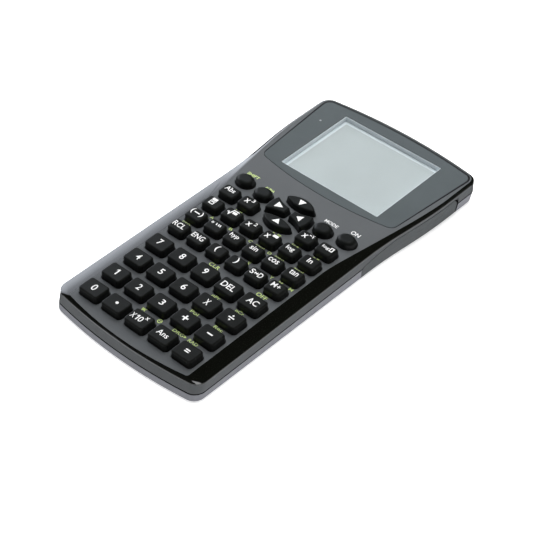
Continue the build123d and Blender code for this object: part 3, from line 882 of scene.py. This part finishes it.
# What the gloss shows, as radiance by direction: steps of (cosine to an axis, value).
UP, FAR_LEFT = (0, 0, 1), (-0.65, 0.76, 0)
LAMP_STEPS = ((0.988, 0.0), (0.996, 3.0))
ROOM_STEPS, ROOM_GATE = ((0.12, 0.85), (0.35, 0.03)), ((0.05, 1.0), (0.45, 0.05))
GLOW_AXIS, GLOW_STEPS = (-0.9, 0.3, 0.3), ((0.84, 0.0), (0.885, 1.7), (0.98, 3.3))
GLOW_GATE = ((0.1, 0.0), (0.25, 1.0))
ROOM_TINT, GLOW_TINT = (0.97, 0.985, 1.0, 1), (0.86, 0.91, 1.0, 1)


class Sky:
    """Adds up the world's radiance by direction."""

    def __init__(self):
        world = bpy.data.worlds.new("studio")
        bpy.context.scene.world = world
        world.use_nodes = True
        self.tree = world.node_tree
        self.coords = self.add("ShaderNodeTexCoord").outputs["Generated"]

    def add(self, kind):
        return self.tree.nodes.new(kind)

    def maths(self, operation, a, b):
        made = self.add("ShaderNodeMath")
        made.operation = operation
        for socket, value in zip(made.inputs, (a, b)):
            if hasattr(value, "links"):
                self.tree.links.new(value, socket)
            else:
                socket.default_value = value
        return made.outputs[0]

    def towards(self, axis, steps):
        """Value by how nearly a direction points along the axis."""
        dot = self.add("ShaderNodeVectorMath")
        dot.operation = "DOT_PRODUCT"
        self.tree.links.new(self.coords, dot.inputs[0])
        dot.inputs[1].default_value = Vector(axis).normalized()
        total = steps[0][1]
        for (start, first), (end, last) in zip(steps, steps[1:]):
            ramp = self.add("ShaderNodeMapRange")
            ramp.interpolation_type = "SMOOTHSTEP"
            self.tree.links.new(dot.outputs["Value"], ramp.inputs["Value"])
            limits = {"From Min": start, "From Max": end, "To Min": 0.0, "To Max": last - first}
            for key, value in limits.items():
                ramp.inputs[key].default_value = value
            total = self.maths("ADD", ramp.outputs[0], total)
        return total

    def light(self, tint, strength):
        made = self.add("ShaderNodeBackground")
        made.inputs["Color"].default_value = tint
        self.tree.links.new(strength, made.inputs["Strength"])
        return made.outputs[0]


def build_sky():
    """A pale room towards the camera, a small lamp overhead, and a glow on the left
    that the glossy edge trim picks up."""
    sky = Sky()
    room = sky.maths("MULTIPLY", sky.towards(UP, ROOM_STEPS), sky.towards(FAR_LEFT, ROOM_GATE))
    room = sky.maths("ADD", room, sky.towards(SUN_AXIS, LAMP_STEPS))
    glow = sky.maths("MULTIPLY", sky.towards(GLOW_AXIS, GLOW_STEPS), sky.towards(UP, GLOW_GATE))
    both = sky.add("ShaderNodeAddShader")
    sky.tree.links.new(sky.light(ROOM_TINT, room), both.inputs[0])
    sky.tree.links.new(sky.light(GLOW_TINT, glow), both.inputs[1])
    sky.tree.links.new(both.outputs[0], sky.tree.nodes["World Output"].inputs["Surface"])


def add_lamp(name, kind, place, axis, energy):
    """A lamp that shines from the axis's end to its start, and isn't seen in the gloss."""
    lamp = bpy.data.lights.new(name, kind)
    lamp.energy = energy
    holder = bpy.data.objects.new(name, lamp)
    holder.location = place
    holder.rotation_euler = Vector(axis).to_track_quat("Z", "Y").to_euler()
    holder.visible_glossy = holder.visible_transmission = False
    bpy.context.scene.collection.objects.link(holder)
    return lamp


def light_scene():
    build_sky()
    add_lamp("sun", "SUN", (0, 0, 1), SUN_AXIS, SUN).angle = SUN_SPREAD
    add_lamp("softbox", "AREA", SOFTBOX_AT, SOFTBOX_AT, SOFTBOX).size = SOFTBOX_SIZE


# The paper, in metres: its extent, and the sweep where it curves up.
PAPER_X, PAPER_Y, PAPER_TOP, PAPER_DROP = 5, (-4.0, 3.0), 3.5, 0.0002
SWEEP_R, SWEEP_STEPS = 1.2, 12
PAPER_WHITE, PAPER_GLOW = (0.9, 0.9, 0.9), 0.66


def lay_floor():
    """A wide sheet of white paper, curving up far behind."""
    shell = bmesh.new()
    front, back = PAPER_Y
    turns = [math.pi / 2 * (step + 1) / SWEEP_STEPS for step in range(SWEEP_STEPS)]
    sweep = [(back + SWEEP_R * math.sin(t), SWEEP_R - SWEEP_R * math.cos(t)) for t in turns]
    depth = [(front, 0.0), (back, 0.0), *sweep, (back + SWEEP_R, PAPER_TOP)]
    rows = [[shell.verts.new((x, y, z - PAPER_DROP)) for x in (-PAPER_X, PAPER_X)] for y, z in depth]
    for low, high in zip(rows, rows[1:]):
        shell.faces.new((low[0], low[1], high[1], high[0]))
    mesh = bpy.data.meshes.new("floor")
    shell.to_mesh(mesh)
    shell.free()
    mesh.shade_smooth()
    paper = Shader("floor_paper", 0.9, Specular_IOR_Level=0.1).colour(PAPER_WHITE, 0.006, 60.0)
    paper.bsdf.inputs["Emission Color"].default_value = (1, 1, 1, 1)
    paper.bsdf.inputs["Emission Strength"].default_value = PAPER_GLOW
    mesh.materials.append(paper.grain(0.8, 0.004).material)
    floor = bpy.data.objects.new("floor", mesh)
    bpy.context.scene.collection.objects.link(floor)
    floor.visible_glossy = False


# ----------------------------------------------------------------------- build
bpy.context.scene.view_settings.view_transform = "Standard"
dress_cad_nodes()
print_legends()
display_window()
window_gap_shade_ring()
window_liner()
rating_label()
cell_marks()
add_camera()
light_scene()
lay_floor()
